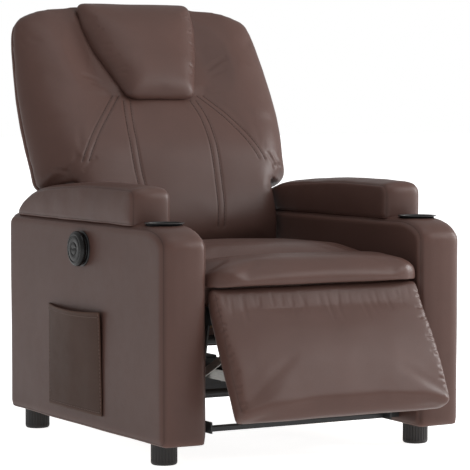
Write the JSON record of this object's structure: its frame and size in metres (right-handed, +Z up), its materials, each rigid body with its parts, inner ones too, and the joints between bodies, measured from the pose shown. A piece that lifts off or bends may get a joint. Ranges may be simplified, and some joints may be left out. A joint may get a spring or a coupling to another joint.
{
  "type": "recliner armchair",
  "caption": "Upholstered power recliner with boxy arms, padded armrests, cup holders, side pocket, round control pod, and a back that leans as the footrest opens.",
  "frame": {"origin": "bottom centre of the chair's bounding box in its stored pose, on the floor", "axes": "+X to the right as seen from the front, +Y from the front to the rear, +Z up; the front faces -Y"},
  "size_m": [0.809, 1.0995, 1.0746],
  "materials": {
    "leather": "soft semi-matte brown faux leather with fine grain",
    "plywood": "raw plywood and lumber",
    "zinc_steel": "bright zinc plate",
    "black_steel": "dark grey powder coat",
    "black_plastic": "moulded black plastic",
    "pod_plastic": "satin black plastic"
  },
  "bodies": {
    "base": {"arm_frame_left": "plywood", "arm_frame_right": "plywood", "arm_cover_left": "leather", "arm_cover_right": "leather", "arm_pad_left": "leather", "arm_pad_right": "leather", "cup_holder_left": "black_plastic", "cup_holder_right": "black_plastic", "side_pocket": "leather", "switch_flange": "pod_plastic", "switch_housing": "pod_plastic", "feet": "black_plastic", "foot_bolts": "zinc_steel", "front_rail": "black_steel", "rear_rail": "black_steel", "side_plate_left": "black_steel", "side_plate_right": "black_steel", "arm_bolts": "zinc_steel", "arm_spacers": "zinc_steel", "front_cross_tube": "black_steel", "rear_cross_tube": "black_steel", "seat_frame": "plywood", "seat_springs": "zinc_steel", "seat_bolts": "zinc_steel", "seat_cushion": "leather", "back_pivot_pins": "zinc_steel", "footrest_pivot_pins": "zinc_steel", "torque_bushes": "black_plastic", "motor": "black_steel", "gearbox": "black_plastic", "motor_bracket": "black_steel", "drive_rail": "zinc_steel", "lead_screw": "zinc_steel", "power_inlet": "black_plastic"},
    "back": {"back_frame": "plywood", "back_bracket_left": "black_steel", "back_bracket_right": "black_steel", "back_bolts": "zinc_steel", "back_cushion": "leather", "back_panel": "leather", "head_pillow": "leather"},
    "footrest": {"footrest_board": "plywood", "footrest_pad": "leather", "footrest_bracket_left": "zinc_steel", "footrest_bracket_right": "zinc_steel", "footrest_screws": "zinc_steel"},
    "torque_shaft": {"torque_tube": "black_steel", "crank_left": "zinc_steel", "crank_right": "zinc_steel", "drive_lever": "zinc_steel"},
    "push_links": {"push_link_left": "zinc_steel", "push_link_right": "zinc_steel"},
    "recline_links": {"recline_link_left": "black_steel", "recline_link_right": "black_steel"},
    "slider": {"drive_slider": "black_plastic"},
    "open_button": {"button_open": "pod_plastic"},
    "close_button": {"button_close": "pod_plastic"}
  },
  "joints": [
    {"name": "footrest_open", "type": "hinge", "parent": "base", "child": "footrest", "pos_m": [0.012, -0.4082, 0.379], "axis": [-1, 0, 0], "range_deg": [-30, 63]},
    {"name": "back_recline", "type": "hinge", "parent": "base", "child": "back", "pos_m": [0.012, 0.209, 0.33], "axis": [-1, 0, 0], "range_deg": [-11.5, 24]},
    {"name": "torque_turn", "type": "hinge", "parent": "base", "child": "torque_shaft", "pos_m": [0.012, -0.1482, 0.254], "axis": [-1, 0, 0], "range_deg": [-30.5, 63.5]},
    {"name": "push_link_turn", "type": "hinge", "parent": "torque_shaft", "child": "push_links", "pos_m": [0.012, -0.16712, 0.11774], "axis": [-1, 0, 0], "range_deg": [-63.5, 30.5]},
    {"name": "recline_link_turn", "type": "hinge", "parent": "torque_shaft", "child": "recline_links", "pos_m": [0.012, -0.13484, 0.20582], "axis": [-1, 0, 0], "range_deg": [-63.5, 30.5]},
    {"name": "slider_travel", "type": "slide", "parent": "base", "child": "slider", "axis": [0, -1, 0], "range_m": [-0.029, 0.06]},
    {"name": "open_button_press", "type": "slide", "parent": "base", "child": "open_button", "axis": [1, 0, 0], "range_m": [0, 0.0015], "stiffness_N_per_m": 400},
    {"name": "close_button_press", "type": "slide", "parent": "base", "child": "close_button", "axis": [1, 0, 0], "range_m": [0, 0.0015], "stiffness_N_per_m": 400}
  ],
  "couplings": [
    {"joint": "back_recline", "follows": "footrest_open", "ratio": 0.38},
    {"joint": "torque_turn", "follows": "footrest_open", "ratio": 1},
    {"joint": "push_link_turn", "follows": "footrest_open", "ratio": -1},
    {"joint": "recline_link_turn", "follows": "footrest_open", "ratio": -1},
    {"joint": "slider_travel", "follows": "footrest_open", "m_per_rad": 0.05336}
  ]
}
